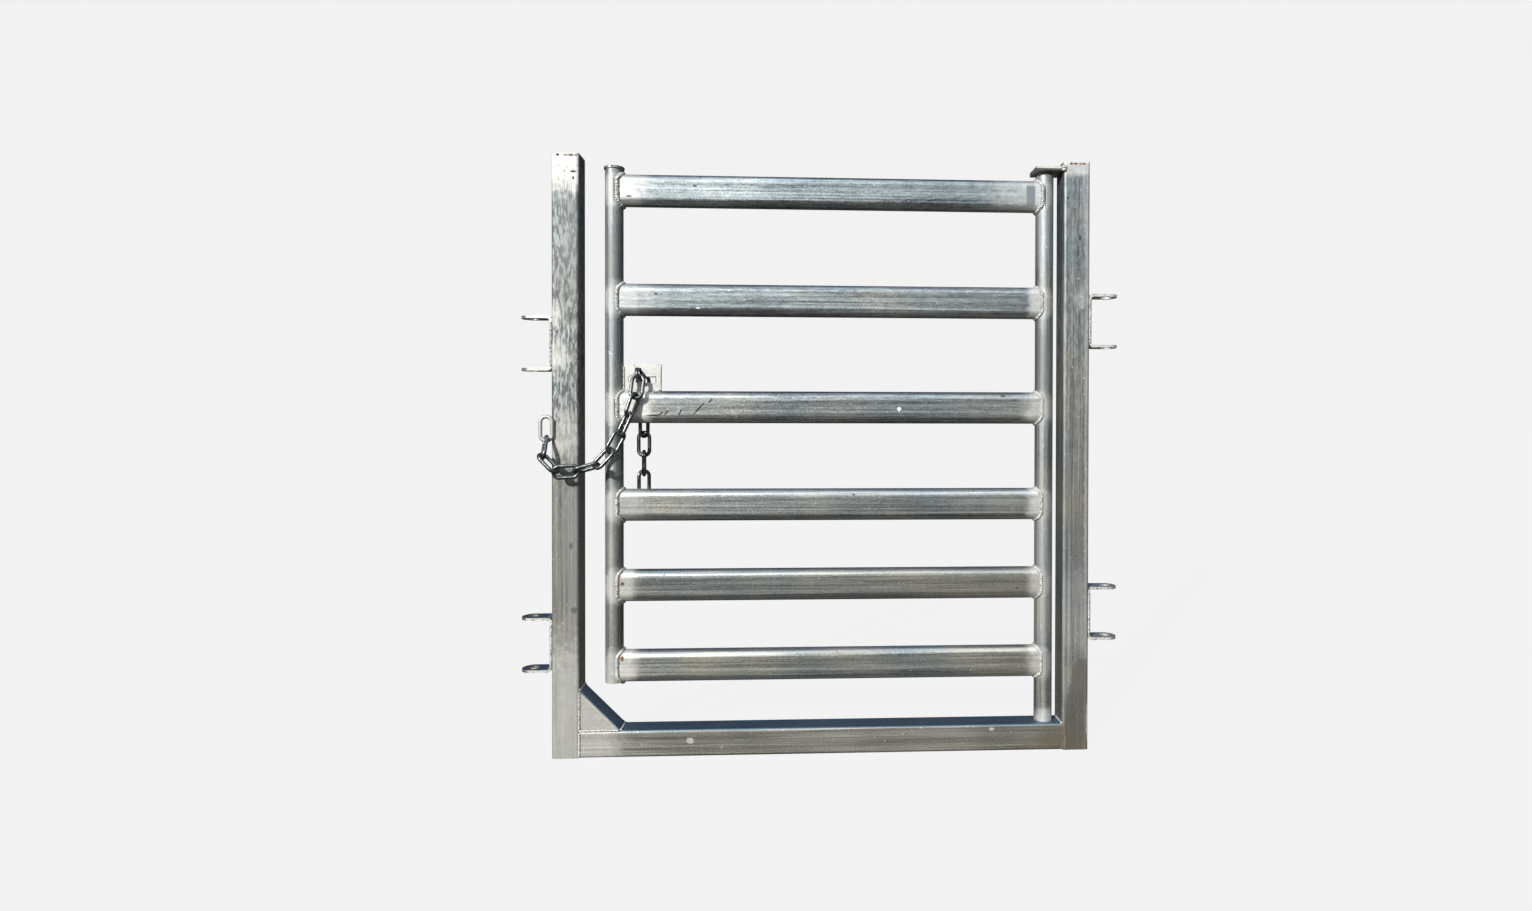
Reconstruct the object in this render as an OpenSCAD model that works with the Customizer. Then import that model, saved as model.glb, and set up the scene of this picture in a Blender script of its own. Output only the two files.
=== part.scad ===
/* [Frame] */
// Width over the two posts
frame_w = 1000; // [850:10:1300]
// Height of the posts with their caps
frame_h = 1110; // [1105:5:1250]
// Side of the square tube used for posts and sill
post_w = 50; // [46:1:56]
// Wall of the square tube
post_wall = 3; // [2:0.5:4]
// Outside corner radius of the square tube
post_corner = 5; // [4:0.5:7]
// Thickness of the flat caps welded on the posts
cap_t = 4; // [3:0.5:8]
// Leg of the triangular gusset, along the post and along the sill
gusset_leg = 75; // [65:1:95]

/* [Gate] */
// Outside diameter of the two round stiles
stile_d = 33.7; // [30:0.1:36]
// Wall of the round stiles
stile_wall = 3.25; // [2.5:0.05:4]
// Gap between the latch post and the latch stile
latch_gap = 42; // [34:1:48]
// Gap between the hinge post and the hinge stile
hinge_gap = 13.5; // [12:0.5:20]
// Height of an oval rail
rail_h = 60; // [54:1:64]
// Depth of an oval rail
rail_t = 30; // [26:1:30]
// Wall of an oval rail
rail_wall = 2; // [1.5:0.25:3]
// Clear gap between the sill and the lowest rail
foot_gap = 84; // [70:1:90]
// Clear drop from the top of the stiles to the highest rail
crown_drop = 8.5; // [6:0.5:14]
// Share of the clear height left between rails 1 and 2
share_1 = 28.5; // [26:0.1:30]
// Share of the clear height left between rails 2 and 3
share_2 = 27.9; // [26:0.1:30]
// Share of the clear height left between rails 3 and 4
share_3 = 24.5; // [23:0.1:26]
// Share of the clear height left between rails 4 and 5
share_4 = 18; // [17:0.1:20]
// Share of the clear height left between rails 5 and 6
share_5 = 18; // [17:0.1:20]
// Diameter of the disc on the latch stile
disc_d = 37.5; // [36:0.5:40]
// Thickness of the disc on the latch stile
disc_t = 4; // [3:0.5:6]

/* [Hinge] */
// Thickness of the hinge plate
plate_t = 8; // [6:0.5:12]
// Depth of the top of the hinge plate below the post top
plate_drop = 9; // [6:0.5:12]
// Reach of the hinge plate past the far side of the stile
plate_over = 4.8; // [2:0.2:8]
// Gap between the hinge plate and the top of the stile
pin_show = 6; // [4:0.5:8]
// Length of pin inside each end of the stile
pin_grip = 45; // [30:1:70]
// Running clearance round the pins, on the radius
pin_clear = 0.1; // [0.05:0.01:0.1]
// Running clearance under the foot of the stile
foot_clear = 0.5; // [0.3:0.1:1]

/* [Pin lugs] */
// Thickness of the bent bar
lug_t = 5; // [4:0.5:7]
// Width of the bent bar
lug_w = 40; // [34:1:44]
// Reach of the arms from the post
lug_reach = 60; // [54:1:70]
// Height between the middles of the two arms
lug_pitch = 96; // [88:1:110]
// Hole for the drop pin
lug_hole = 22; // [18:0.5:25]
// Outside radius of the bends in the bar
lug_bend = 9; // [8:0.5:12]
// Height of the middle of the upper lug on the left post
lug_upper_z = 763; // [740:1:800]
// Height of the middle of the lower lug on the left post
lug_lower_z = 207.5; // [180:0.5:240]
// How much higher the lugs on the right post sit
lug_step = 49; // [40:1:56]

/* [Chain keeper] */
// Width of the keeper plate
keeper_w = 70; // [66:1:80]
// Height of the keeper plate
keeper_h = 50; // [46:0.5:54]
// Thickness of the keeper plate
keeper_t = 6; // [4:0.5:8]
// Height of the slot above the lower edge of the plate
slot_rise = 15.5; // [14:0.5:18]
// Height of the slot
slot_h = 10; // [9:0.5:12]
// Length of the slot
slot_len = 51; // [48:1:54]
// Distance from the stile edge of the plate to the slot
slot_inset = 8.5; // [7:0.5:10]
// Width of the neck that lets the chain in
neck_w = 11.5; // [10.5:0.5:13]
// Distance from the stile edge of the plate to the middle of the neck's mouth
neck_inset = 24.5; // [23:0.5:26]
// Sideways lean of the neck from its mouth to its foot
neck_lean = 5; // [3:0.5:6]
// Width of the funnel where it meets the slot
funnel_w = 35.5; // [34:0.5:38]
// Height of the funnel above the slot
funnel_h = 9; // [8:0.5:10]

/* [Chain] */
// Diameter of the chain wire
wire_d = 7; // [6.5:0.1:7.3]
// Inside length of a link
link_pitch = 37; // [36.4:0.1:37.4]
// Outside width of a link
link_w = 28; // [27.4:0.1:29]
// Play between two links where they bear on each other
link_play = 0.45; // [0.35:0.05:0.6]
// Drop from the middle of rail 3 to the middle of the first, welded link
anchor_drop = 40.5; // [36:0.5:46]

/* [Hidden] */
$fn = 48;

// Cutting margin for holes that pass right through
over = 1;
// Seat between pieces that bear on each other without being one piece
seat_gap = 0.3;
galvanised = [0.70, 0.71, 0.70];
weathered = [0.60, 0.61, 0.60];
chain_grey = [0.36, 0.37, 0.38];

// Places across the frame
post_x = (frame_w - post_w) / 2;
inner_x = frame_w / 2 - post_w;
latch_x = -inner_x + latch_gap + stile_d / 2;
hinge_x = inner_x - hinge_gap - stile_d / 2;

// Hinge and stiles
sill_top = post_w;
plate_top = frame_h - plate_drop;
plate_bottom = plate_top - plate_t;
stile_top = plate_bottom - pin_show;
stile_bore = stile_d - 2 * stile_wall;
pin_d = stile_bore - 2 * pin_clear;

// Heights of the rails: six rails and five gaps fill the stiles above the foot gap
clear_h = stile_top - crown_drop - sill_top - foot_gap - 6 * rail_h;
share_sum = share_1 + share_2 + share_3 + share_4 + share_5;
rail_z1 = stile_top - crown_drop - rail_h / 2;
rail_z2 = rail_z1 - rail_h - clear_h * share_1 / share_sum;
rail_z3 = rail_z2 - rail_h - clear_h * share_2 / share_sum;
rail_z4 = rail_z3 - rail_h - clear_h * share_3 / share_sum;
rail_z5 = rail_z4 - rail_h - clear_h * share_4 / share_sum;
rail_z6 = rail_z5 - rail_h - clear_h * share_5 / share_sum;
rail_z = [rail_z1, rail_z2, rail_z3, rail_z4, rail_z5, rail_z6];

// Keeper plate: its lower left corner
keeper_x = latch_x + stile_d / 2;
keeper_z = rail_z3 + rail_h / 2;

// Centreline of a link: half of its straight side and the radius of its ends
end_r = (link_w - wire_d) / 2;
half_side = (link_pitch + wire_d) / 2 - end_r;

module square_tube(length) {
    inner = post_w - 2 * post_wall;
    linear_extrude(length) difference() {
        rounded_square(post_w, post_corner);
        rounded_square(inner, post_corner - post_wall);
    }
}

module rounded_square(side, r) {
    flat = side - 2 * r;
    square([side, flat], center = true);
    square([flat, side], center = true);
    for (x = [-1, 1], y = [-1, 1])
        translate([x * flat / 2, y * flat / 2]) circle(r);
}

module post(x) {
    color(galvanised) translate([x, 0, 0]) square_tube(frame_h - cap_t);
}

module post_cap(x) {
    color(weathered) translate([x, 0, frame_h - cap_t])
        linear_extrude(cap_t) rounded_square(post_w, post_corner);
}

module sill() {
    color(galvanised) translate([-inner_x, 0, post_w / 2])
        rotate([0, 90, 0]) square_tube(2 * inner_x);
}

// Offcut of the square tube, mitred both ends, closing the corner of post and sill
module corner_gusset() {
    run = gusset_leg * sqrt(2);
    color(galvanised) translate([-inner_x, 0, sill_top]) intersection() {
        translate([0, 0, gusset_leg]) rotate([0, 135, 0])
            translate([post_w / 2, 0, 0]) square_tube(run);
        rotate([90, 0, 0]) translate([0, 0, -post_w])
            linear_extrude(2 * post_w)
                polygon([[0, 0], [gusset_leg, 0], [0, gusset_leg]]);
    }
}

module hinge_plate() {
    reach = hinge_gap + stile_d + plate_over;
    color(weathered) difference() {
        translate([inner_x - reach, -post_w / 2, plate_bottom]) cube([reach, post_w, plate_t]);
        translate([hinge_x, 0, plate_bottom - over])
            cylinder(h = plate_t + 2 * over, d = pin_d + 2 * pin_clear);
    }
}

module upper_hinge_pin() {
    color(galvanised) translate([hinge_x, 0, stile_top - pin_grip])
        cylinder(h = pin_grip + pin_show + plate_t, d = pin_d);
}

module lower_hinge_pin() {
    color(galvanised) translate([hinge_x, 0, sill_top])
        cylinder(h = foot_clear + pin_grip, d = pin_d);
}

module stile(x, bottom) {
    color(galvanised) translate([x, 0, bottom]) difference() {
        cylinder(h = stile_top - bottom, d = stile_d);
        translate([0, 0, -over]) cylinder(h = stile_top - bottom + 2 * over, d = stile_bore);
    }
}

module latch_stile_cap() {
    color(weathered) translate([latch_x, 0, stile_top]) cylinder(h = disc_t, d = disc_d);
}

module oval(h, t) {
    square([h - t, t], center = true);
    for (s = [-1, 1]) translate([s * (h - t) / 2, 0]) circle(d = t);
}

// An oval rail between the stiles, its ends coped to seat on the round tube
module rail(i) {
    color(galvanised) difference() {
        translate([latch_x, 0, rail_z[i - 1]]) rotate([0, 90, 0])
            linear_extrude(hinge_x - latch_x) difference() {
                oval(rail_h, rail_t);
                oval(rail_h - 2 * rail_wall, rail_t - 2 * rail_wall);
            }
        for (x = [latch_x, hinge_x])
            translate([x, 0, rail_z[i - 1] - rail_h]) cylinder(h = 2 * rail_h, d = stile_d);
    }
}

// Flat bar bent into a U, with a hole through both arms for the drop pin
module pin_lug(side, z) {
    depth = lug_pitch + lug_t;
    tip = lug_reach - lug_w / 2;
    color(galvanised) translate([side * frame_w / 2, 0, z]) mirror([side < 0 ? 1 : 0, 0, 0])
        difference() {
            intersection() {
                rotate([90, 0, 0]) translate([0, 0, -lug_w / 2]) linear_extrude(lug_w)
                    lug_profile(depth);
                translate([0, 0, -depth]) linear_extrude(2 * depth) union() {
                    translate([0, -lug_w / 2]) square([tip, lug_w]);
                    translate([tip, 0]) circle(d = lug_w);
                }
            }
            translate([tip, 0, -depth]) cylinder(h = 2 * depth, d = lug_hole);
        }
}

// Side view of the bent bar: web against the post, arms reaching out
module lug_profile(depth) {
    difference() {
        bent_corners(lug_reach, depth, lug_bend);
        translate([lug_t, 0])
            bent_corners(lug_reach, depth - 2 * lug_t, lug_bend - lug_t);
    }
}

module bent_corners(length, height, r) {
    translate([r, -height / 2]) square([length - r, height]);
    translate([0, -height / 2 + r]) square([length, height - 2 * r]);
    for (s = [-1, 1]) translate([r, s * (height / 2 - r)]) circle(r);
}

// Keeper plate: a leaning neck widens into a level slot that holds one link
module keeper_plate() {
    neck_foot = slot_rise + slot_h + funnel_h;
    color(galvanised) translate([keeper_x, keeper_t / 2, keeper_z]) rotate([90, 0, 0])
        linear_extrude(keeper_t) difference() {
            square([keeper_w, keeper_h]);
            translate([slot_inset, slot_rise]) square([slot_len, slot_h]);
            polygon([
                [neck_inset - neck_w / 2, keeper_h + over],
                [neck_inset - neck_w / 2, keeper_h],
                [neck_inset + neck_lean - neck_w / 2, neck_foot],
                [slot_inset, slot_rise + slot_h],
                [slot_inset, slot_rise + slot_h - over],
                [slot_inset + funnel_w, slot_rise + slot_h - over],
                [slot_inset + funnel_w, slot_rise + slot_h],
                [neck_inset + neck_lean + neck_w / 2, neck_foot],
                [neck_inset + neck_w / 2, keeper_h],
                [neck_inset + neck_w / 2, keeper_h + over]
            ]);
        }
}

// Chain. Each link's axes are its direction, its width and its face.
// Slope above the level and lean towards the back, for links 2 to 10
drape = [
    [-88, -0.62], [-44, -0.12], [3, 0.06], [16, 0.06], [47, 0.10],
    [62, 0.13], [66, 0.14], [72, 0.16], [84, 0.32]
];
// Roll of links 2 to 10 about their own length
drape_roll = [65, 110, 184, 70, 138, 40, 126, 62, 0];
// Lean and roll of the links that hang behind the gate, 12 to 17
tail = [[0.40, -12], [0.06, 55], [-0.02, 122], [0, 189], [0, 256], [0, 323]];
hook_direction = [0.03, 1, 0.03];
hook_width = [-0.2, 0, 1];

function unit(v) = v / norm(v);
function sloped(slope, lean) = unit([cos(slope), lean, sin(slope)]);
function axes_from(t, e) = [t, e, cross(t, e)];
function rolled(t, roll) =
    let (e = unit(cross([0, 1, 0], t)), n = cross(t, e))
    axes_from(t, cos(roll) * e + sin(roll) * n);
function across(t, e) = axes_from(t, unit(e - (e * t) * t));

// Middle of the link with axes b that bears on the link with axes a and middle c
function seated(c, a, b) =
    let (
        pull = unit(a[0] + b[0]),
        from = unit((pull * a[0]) * a[0] + (pull * a[1]) * a[1]),
        into = unit((pull * b[0]) * b[0] + (pull * b[1]) * b[1])
    )
    c + half_side * a[0] + end_r * from - (wire_d + link_play) * pull
      + half_side * b[0] + end_r * into;

// The welded link stands upright at the front corner of the latch post
// Gap between the link and the post that the weld fills
weld_gap = 0.6;
// How far the link's near wire stands outside the middle of the corner's curve
weld_side = 2.5;
weld_reach = post_corner + wire_d / 2 + weld_gap;
anchor_axes = rolled([0, 0, -1], 0);
anchor = [
    -frame_w / 2 + post_corner - weld_side - end_r,
    -post_w / 2 + post_corner - sqrt(pow(weld_reach, 2) - pow(weld_side, 2)),
    rail_z3 - anchor_drop
];

// Where the hooked link has to lie: its lower wire on the slot, its upper wire in the neck
hook_axes = across(unit(hook_direction), unit(hook_width));
// Share of the neck's lean at the height of the upper wire
hook_share = 0.68;
// How far the link's middle lies to the right of its leaning upper wire
hook_shift = 1.9;
// How far the link's middle lies in front of the middle of the plate
hook_front = 1.3;
hook = [
    keeper_x + neck_inset + neck_lean * hook_share + hook_shift,
    -hook_front,
    keeper_z + slot_rise + seat_gap + wire_d / 2 + end_r * hook_axes[1][2]
];

last_draped = len(drape) - 1;
function draped_axes(fit) = [
    for (i = [0 : last_draped])
        rolled(
            sloped(drape[i][0] + fit[0] + fit[1] * (i - last_draped / 2) / last_draped,
                   drape[i][1] + fit[2]),
            drape_roll[i])
];
function laid(axes) = [
    for (i = 0, c = anchor, a = anchor_axes;
         i < len(axes);
         c = seated(c, a, axes[i]), a = axes[i], i = i + 1)
        seated(c, a, axes[i])
];
function hook_reached(fit) =
    let (axes = concat(draped_axes(fit), [hook_axes])) laid(axes)[len(axes) - 1];

// Turn, curl and lean the drape until the hooked link lies in the keeper
// Degrees of curl and share of lean added for each mm by which the link misses
curl_step = -0.45;
lean_step = 1 / 300;
settle_steps = 24;
chord = hook - anchor;
along = unit([chord[0], 0, chord[2]]);
square_to = [-along[2], 0, along[0]];
function settled(fit, steps) =
    steps == 0 ? fit :
    let (miss = hook - hook_reached(fit))
    settled(
        fit + [
            (miss * square_to) / norm(chord) * 180 / PI,
            curl_step * (miss * along),
            lean_step * miss[1]
        ],
        steps - 1);
fit = settled([0, 0, 0], settle_steps);

tail_axes = [for (t = tail) rolled(sloped(-90, t[0]), t[1])];
later_axes = concat(draped_axes(fit), [hook_axes], tail_axes);
chain_axes = concat([anchor_axes], later_axes);
chain_middles = concat([anchor], laid(later_axes));

module link_body() {
    for (s = [-1, 1]) {
        translate([-half_side, s * end_r, 0]) rotate([0, 90, 0])
            cylinder(h = 2 * half_side, d = wire_d);
        translate([s * half_side, 0, 0]) rotate([0, 0, -s * 90])
            rotate_extrude(angle = 180) translate([end_r, 0]) circle(d = wire_d);
    }
}

module chain_link(i) {
    a = chain_axes[i - 1];
    c = chain_middles[i - 1];
    color(i == 1 ? galvanised : chain_grey) multmatrix([
        [a[0][0], a[1][0], a[2][0], c[0]],
        [a[0][1], a[1][1], a[2][1], c[1]],
        [a[0][2], a[1][2], a[2][2], c[2]],
        [0, 0, 0, 1]
    ]) link_body();
}

post(-post_x);  // left_post
post(post_x);  // right_post
post_cap(-post_x);  // left_post_cap
post_cap(post_x);  // right_post_cap
sill();
corner_gusset();
hinge_plate();
upper_hinge_pin();
lower_hinge_pin();
pin_lug(-1, lug_upper_z);  // left_upper_lug
pin_lug(-1, lug_lower_z);  // left_lower_lug
pin_lug(1, lug_upper_z + lug_step);  // right_upper_lug
pin_lug(1, lug_lower_z + lug_step);  // right_lower_lug
stile(latch_x, rail_z6 - rail_h / 2);  // latch_stile
latch_stile_cap();
stile(hinge_x, sill_top + foot_clear);  // hinge_stile
rail(1);  // rail_1
rail(2);  // rail_2
rail(3);  // rail_3
rail(4);  // rail_4
rail(5);  // rail_5
rail(6);  // rail_6
keeper_plate();
chain_link(1);  // chain_link_01
chain_link(2);  // chain_link_02
chain_link(3);  // chain_link_03
chain_link(4);  // chain_link_04
chain_link(5);  // chain_link_05
chain_link(6);  // chain_link_06
chain_link(7);  // chain_link_07
chain_link(8);  // chain_link_08
chain_link(9);  // chain_link_09
chain_link(10);  // chain_link_10
chain_link(11);  // chain_link_11
chain_link(12);  // chain_link_12
chain_link(13);  // chain_link_13
chain_link(14);  // chain_link_14
chain_link(15);  // chain_link_15
chain_link(16);  // chain_link_16
chain_link(17);  // chain_link_17
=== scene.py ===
# %% [markdown]
# # A sheep gate, galvanised and weathered
# The solids of the gate come in as a fixed frame: posts, sill, rails, stiles, lugs and chain are
# already true to size. What is left to make here is what a welder and a zinc bath leave behind:
# weld beads, zinc-sprayed patches, streaks and rust spots, and the light that shows them.

# %% Load the frame
import math

import bpy
from mathutils import Matrix, Vector


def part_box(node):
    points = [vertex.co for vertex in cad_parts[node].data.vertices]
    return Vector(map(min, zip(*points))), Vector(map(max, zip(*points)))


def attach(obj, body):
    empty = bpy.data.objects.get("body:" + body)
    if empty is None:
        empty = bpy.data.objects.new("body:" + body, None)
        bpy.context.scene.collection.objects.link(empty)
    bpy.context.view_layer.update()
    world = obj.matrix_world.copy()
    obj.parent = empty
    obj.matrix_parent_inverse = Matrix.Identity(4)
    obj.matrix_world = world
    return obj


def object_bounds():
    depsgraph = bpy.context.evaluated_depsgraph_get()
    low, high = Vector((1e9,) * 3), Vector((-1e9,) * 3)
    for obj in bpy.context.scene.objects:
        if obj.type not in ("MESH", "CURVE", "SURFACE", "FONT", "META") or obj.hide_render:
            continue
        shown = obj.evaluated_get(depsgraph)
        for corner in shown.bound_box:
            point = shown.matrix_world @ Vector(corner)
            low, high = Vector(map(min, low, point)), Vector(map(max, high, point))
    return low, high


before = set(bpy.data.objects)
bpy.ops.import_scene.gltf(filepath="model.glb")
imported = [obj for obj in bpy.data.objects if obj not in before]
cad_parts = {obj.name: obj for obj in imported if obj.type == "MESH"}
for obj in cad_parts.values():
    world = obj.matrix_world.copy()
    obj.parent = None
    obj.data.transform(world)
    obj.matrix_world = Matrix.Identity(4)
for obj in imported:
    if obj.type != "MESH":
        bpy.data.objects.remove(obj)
cad_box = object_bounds()
bpy.ops.object.select_all(action="DESELECT")
print("CAD nodes:", len(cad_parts))

# %% [markdown]
# ## Camera
# The photograph was taken square on with a fairly wide lens, from a little above the middle of
# the gate. The camera stands where the posts, rails and lugs line up with the picture, and the
# small lens shift takes up the picture's own crop.

# %% Camera
PHOTO_W = 1532
EYE = (-0.0508, -1.5985, 0.6162)
YAW_RIGHT = math.radians(2.90)
PITCH_DOWN = math.radians(0.48)
ROLL = math.radians(0.10)
FOCAL_PX = 847.2
SENSOR = 36.0

ahead = Vector((
    math.cos(PITCH_DOWN) * math.sin(YAW_RIGHT),
    math.cos(PITCH_DOWN) * math.cos(YAW_RIGHT),
    -math.sin(PITCH_DOWN)))
level = ahead.cross(Vector((0, 0, 1))).normalized()
above = level.cross(ahead)
right = math.cos(ROLL) * level + math.sin(ROLL) * above
up = math.cos(ROLL) * above - math.sin(ROLL) * level

camera_data = bpy.data.cameras.new("camera")
camera = bpy.data.objects.new("camera", camera_data)
bpy.context.scene.collection.objects.link(camera)
camera.matrix_world = Matrix.Translation(EYE) @ Matrix((right, up, -ahead)).transposed().to_4x4()
camera_data.sensor_fit = "HORIZONTAL"
camera_data.sensor_width = SENSOR
camera_data.lens = FOCAL_PX / PHOTO_W * SENSOR
camera_data.shift_x = -0.0484
camera_data.shift_y = -0.0162
camera_data.clip_end = 200
bpy.context.scene.camera = camera
print("lens", round(camera_data.lens, 2), "mm")

# %% [markdown]
# ## A way to write shaders as sums
# A finish is arithmetic on patterns: streaks times a little, plus spots where a mask allows them.
# Wiring Math nodes by hand hides that sum, so one small class wraps a socket and lets Python's own
# signs add the nodes. Every other node comes from one method, which takes the node's type, its
# settings and the values or links of its sockets.

# %% Shader arithmetic
FACE_DEPTH = 0.004  # how far a scratch reaches to either side of the face, in metres


class Wire:
    """A shader socket that can be added, multiplied and compared."""

    def __init__(self, finish, socket):
        self.finish = finish
        self.socket = socket

    def math(self, operation, *others):
        values = dict(enumerate((self,) + others))
        return self.finish.node("ShaderNodeMath", {"operation": operation}, values)

    def __add__(self, other):
        return self.math("ADD", other)

    def __sub__(self, other):
        return self.math("SUBTRACT", other)

    def __rsub__(self, other):
        return (self * -1) + other

    def __mul__(self, other):
        return self.math("MULTIPLY", other)

    def clamp(self):
        return self.math("MAXIMUM", 0).math("MINIMUM", 1)

    __radd__ = __add__
    __rmul__ = __mul__


class Finish:
    """A material, or the world, with its node tree."""

    def __init__(self, name, owner=None):
        self.owner = owner or bpy.data.materials.new(name)
        self.owner.use_nodes = True
        self.tree = self.owner.node_tree
        self.tree.nodes.clear()

    def node(self, kind, settings=None, values=None, out=0):
        made = self.tree.nodes.new(kind)
        for key, value in (settings or {}).items():
            setattr(made, key, value)
        for key, value in (values or {}).items():
            if isinstance(value, Wire):
                self.tree.links.new(value.socket, made.inputs[key])
            else:
                made.inputs[key].default_value = value
        return Wire(self, made.outputs[out]) if len(made.outputs) else made

    def place(self):
        return self.node("ShaderNodeTexCoord", out="Object")

    def facing(self):
        return self.parts(self.node("ShaderNodeTexCoord", out="Normal"))

    def stretched(self, scale, shift=(0, 0, 0)):
        values = {"Vector": self.place(), "Scale": scale, "Location": shift}
        return self.node("ShaderNodeMapping", None, values)

    def noise(self, vector, scale=1.0, detail=3.0, roughness=0.55):
        values = {"Vector": vector, "Scale": scale, "Detail": detail, "Roughness": roughness}
        return self.node("ShaderNodeTexNoise", None, values)

    def mix(self, factor, first, second):
        values = {0: factor, 6: first, 7: second}
        return self.node("ShaderNodeMix", {"data_type": "RGBA"}, values, out=2)

    def step(self, value, start, end):
        """0 up to start, 1 past end, smooth between them."""
        settings = {"interpolation_type": "SMOOTHSTEP"}
        values = {0: value, 1: start, 2: end, 3: 0.0, 4: 1.0}
        return self.node("ShaderNodeMapRange", settings, values)

    def parts(self, vector):
        split = self.tree.nodes.new("ShaderNodeSeparateXYZ")
        self.tree.links.new(vector.socket, split.inputs[0])
        return [Wire(self, output) for output in split.outputs]

    def apart(self, point, half=(1, 1, 1), square=False, where=None):
        """Distance from a point, each axis divided by its half size; None skips an axis.
        Square measures to the nearest face of a box, so that the edge comes out straight."""
        scale = tuple(0 if at is None else 1 / size for at, size in zip(point, half))
        centre = tuple(0 if at is None else -at / size for at, size in zip(point, half))
        away = self.node("ShaderNodeVectorMath", {"operation": "MULTIPLY_ADD"},
                         {0: where or self.place(), 1: scale, 2: centre})
        if square:
            x, y, z = (part.math("ABSOLUTE") for part in self.parts(away))
            return x.math("MAXIMUM", y).math("MAXIMUM", z)
        return self.node("ShaderNodeVectorMath", {"operation": "LENGTH"}, {0: away}, out="Value")

    def from_line(self, start, end, half_width):
        """Distance from the line between two points of one front face, 1 at its edge."""
        middle = (Vector(start) + Vector(end)) / 2
        run = Vector(end) - Vector(start)
        turned = self.node("ShaderNodeVectorRotate", {"rotation_type": "Y_AXIS"},
                           {"Vector": self.place(), "Center": middle,
                            "Angle": math.atan2(run.z, run.x)})
        return self.apart(middle, (run.length / 2, FACE_DEPTH, half_width), where=turned)

    def surface(self, values):
        shader = self.node("ShaderNodeBsdfPrincipled", None, values)
        self.node("ShaderNodeOutputMaterial", None, {"Surface": shader})


# %% [markdown]
# ## Light
# The picture was taken in low sunshine from the front left: each chain link throws a crisp shadow
# down and to the right. Bright sky fills the front, and behind the gate it was dark. Bare zinc
# shows whatever it faces, so that dark side is what turns the sill's top and the posts' inner
# sides navy; on the tops of the sill, the gusset and the lower lugs that navy is also a painted
# reflection in their colour. A sun gives the shadows and a world with a bright front and a dark
# back gives the reflections: a bright haze high in front draws the pale line along each rail's
# crown, and the yard is lighter on the left than on the right. The camera itself sees only a
# plain pale backdrop.

# %% Sun and sky
PALE = (0.888, 0.888, 0.888, 1)
TO_SUN = Vector((-0.489, -0.765, 0.419))

sun_data = bpy.data.lights.new("sun", "SUN")
sun_data.energy = 4.2
sun_data.angle = math.radians(0.6)
sun_data.color = (1.0, 0.975, 0.93)
sun = bpy.data.objects.new("sun", sun_data)
bpy.context.scene.collection.objects.link(sun)
sun.rotation_mode = "QUATERNION"
sun.rotation_quaternion = (-TO_SUN).to_track_quat("-Z", "Y")

world = bpy.data.worlds.new("yard")
bpy.context.scene.world = world
sky = Finish("yard", world)
side, depth, height = sky.parts(sky.node("ShaderNodeTexCoord", out="Generated"))
front_sky = (0.26, 0.30, 0.34, 1)
bright_haze = (1.55, 1.66, 1.77, 1)
front_ground = (0.155, 0.145, 0.12, 1)
back_sky = (0.012, 0.038, 0.105, 1)
back_ground = (0.045, 0.045, 0.04, 1)
back_barn = (0.150, 0.130, 0.095, 1)
deep_ground = (0.02, 0.02, 0.015, 1)
left_yard = (0.22, 0.22, 0.21, 1)
right_yard = (0.015, 0.015, 0.015, 1)
over_horizon = sky.step(height, -0.05, 0.45)
ahead_of_gate = sky.step(depth * -1, -0.15, 0.75)
ground = sky.mix(sky.step(height * -1, 0.15, 0.75), front_ground, deep_ground)
front = sky.mix(over_horizon, ground, front_sky)
front = sky.mix(sky.step(height, 0.28, 0.52), front, bright_haze)
low_back = sky.mix(sky.step(side, -0.15, 0.25), back_ground, back_barn)
back = sky.mix(sky.step(height, 0.06, 0.25), low_back, back_sky)
around = sky.mix(ahead_of_gate, back, front)
around = sky.mix(sky.step(side * -1, 0.55, 0.95) * 0.7, around, left_yard)
around = sky.mix(sky.step(side, 0.50, 0.90) * 0.7, around, right_yard)
seen = sky.node("ShaderNodeLightPath", out="Is Camera Ray")
colour = sky.mix(seen, around, PALE)
background = sky.node("ShaderNodeBackground", None, {"Color": colour, "Strength": 1.0})
sky.node("ShaderNodeOutputWorld", None, {"Surface": background})
bpy.context.scene.view_settings.view_transform = "Standard"
print("sun", round(math.degrees(math.asin(TO_SUN.normalized().z)), 1), "degrees high")

# %% [markdown]
# ## Floor
# The gate stands on a plain pale floor. It has to stay as even as the picture's backdrop and must
# not light the undersides of the rails, which look down on dark ground, so it glows by itself,
# shows hardly any shadow and is hidden from reflections.

# %% Floor
FLOOR_SIZE = 120.0
bpy.ops.mesh.primitive_grid_add(x_subdivisions=2, y_subdivisions=2, size=FLOOR_SIZE,
                                location=(0, 0, -0.0005))
floor = bpy.context.object
floor.name = "floor"
bpy.ops.object.transform_apply(location=True, rotation=True, scale=True)
pale = Finish("pale_floor")
pale.surface({
    "Base Color": (0.02, 0.02, 0.02, 1), "Roughness": 1.0, "Specular IOR Level": 0.0,
    "Emission Color": PALE, "Emission Strength": 0.983})
floor.data.materials.append(pale.owner)
floor.visible_glossy = False
floor.visible_diffuse = False
bpy.ops.object.select_all(action="DESELECT")
print("floor", FLOOR_SIZE, "m")

# %% [markdown]
# ## Where things are
# Beads and patches sit on the seams between solids, so their places are read from the frame: the
# stiles, the rails and the posts give nearly every number.

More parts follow.
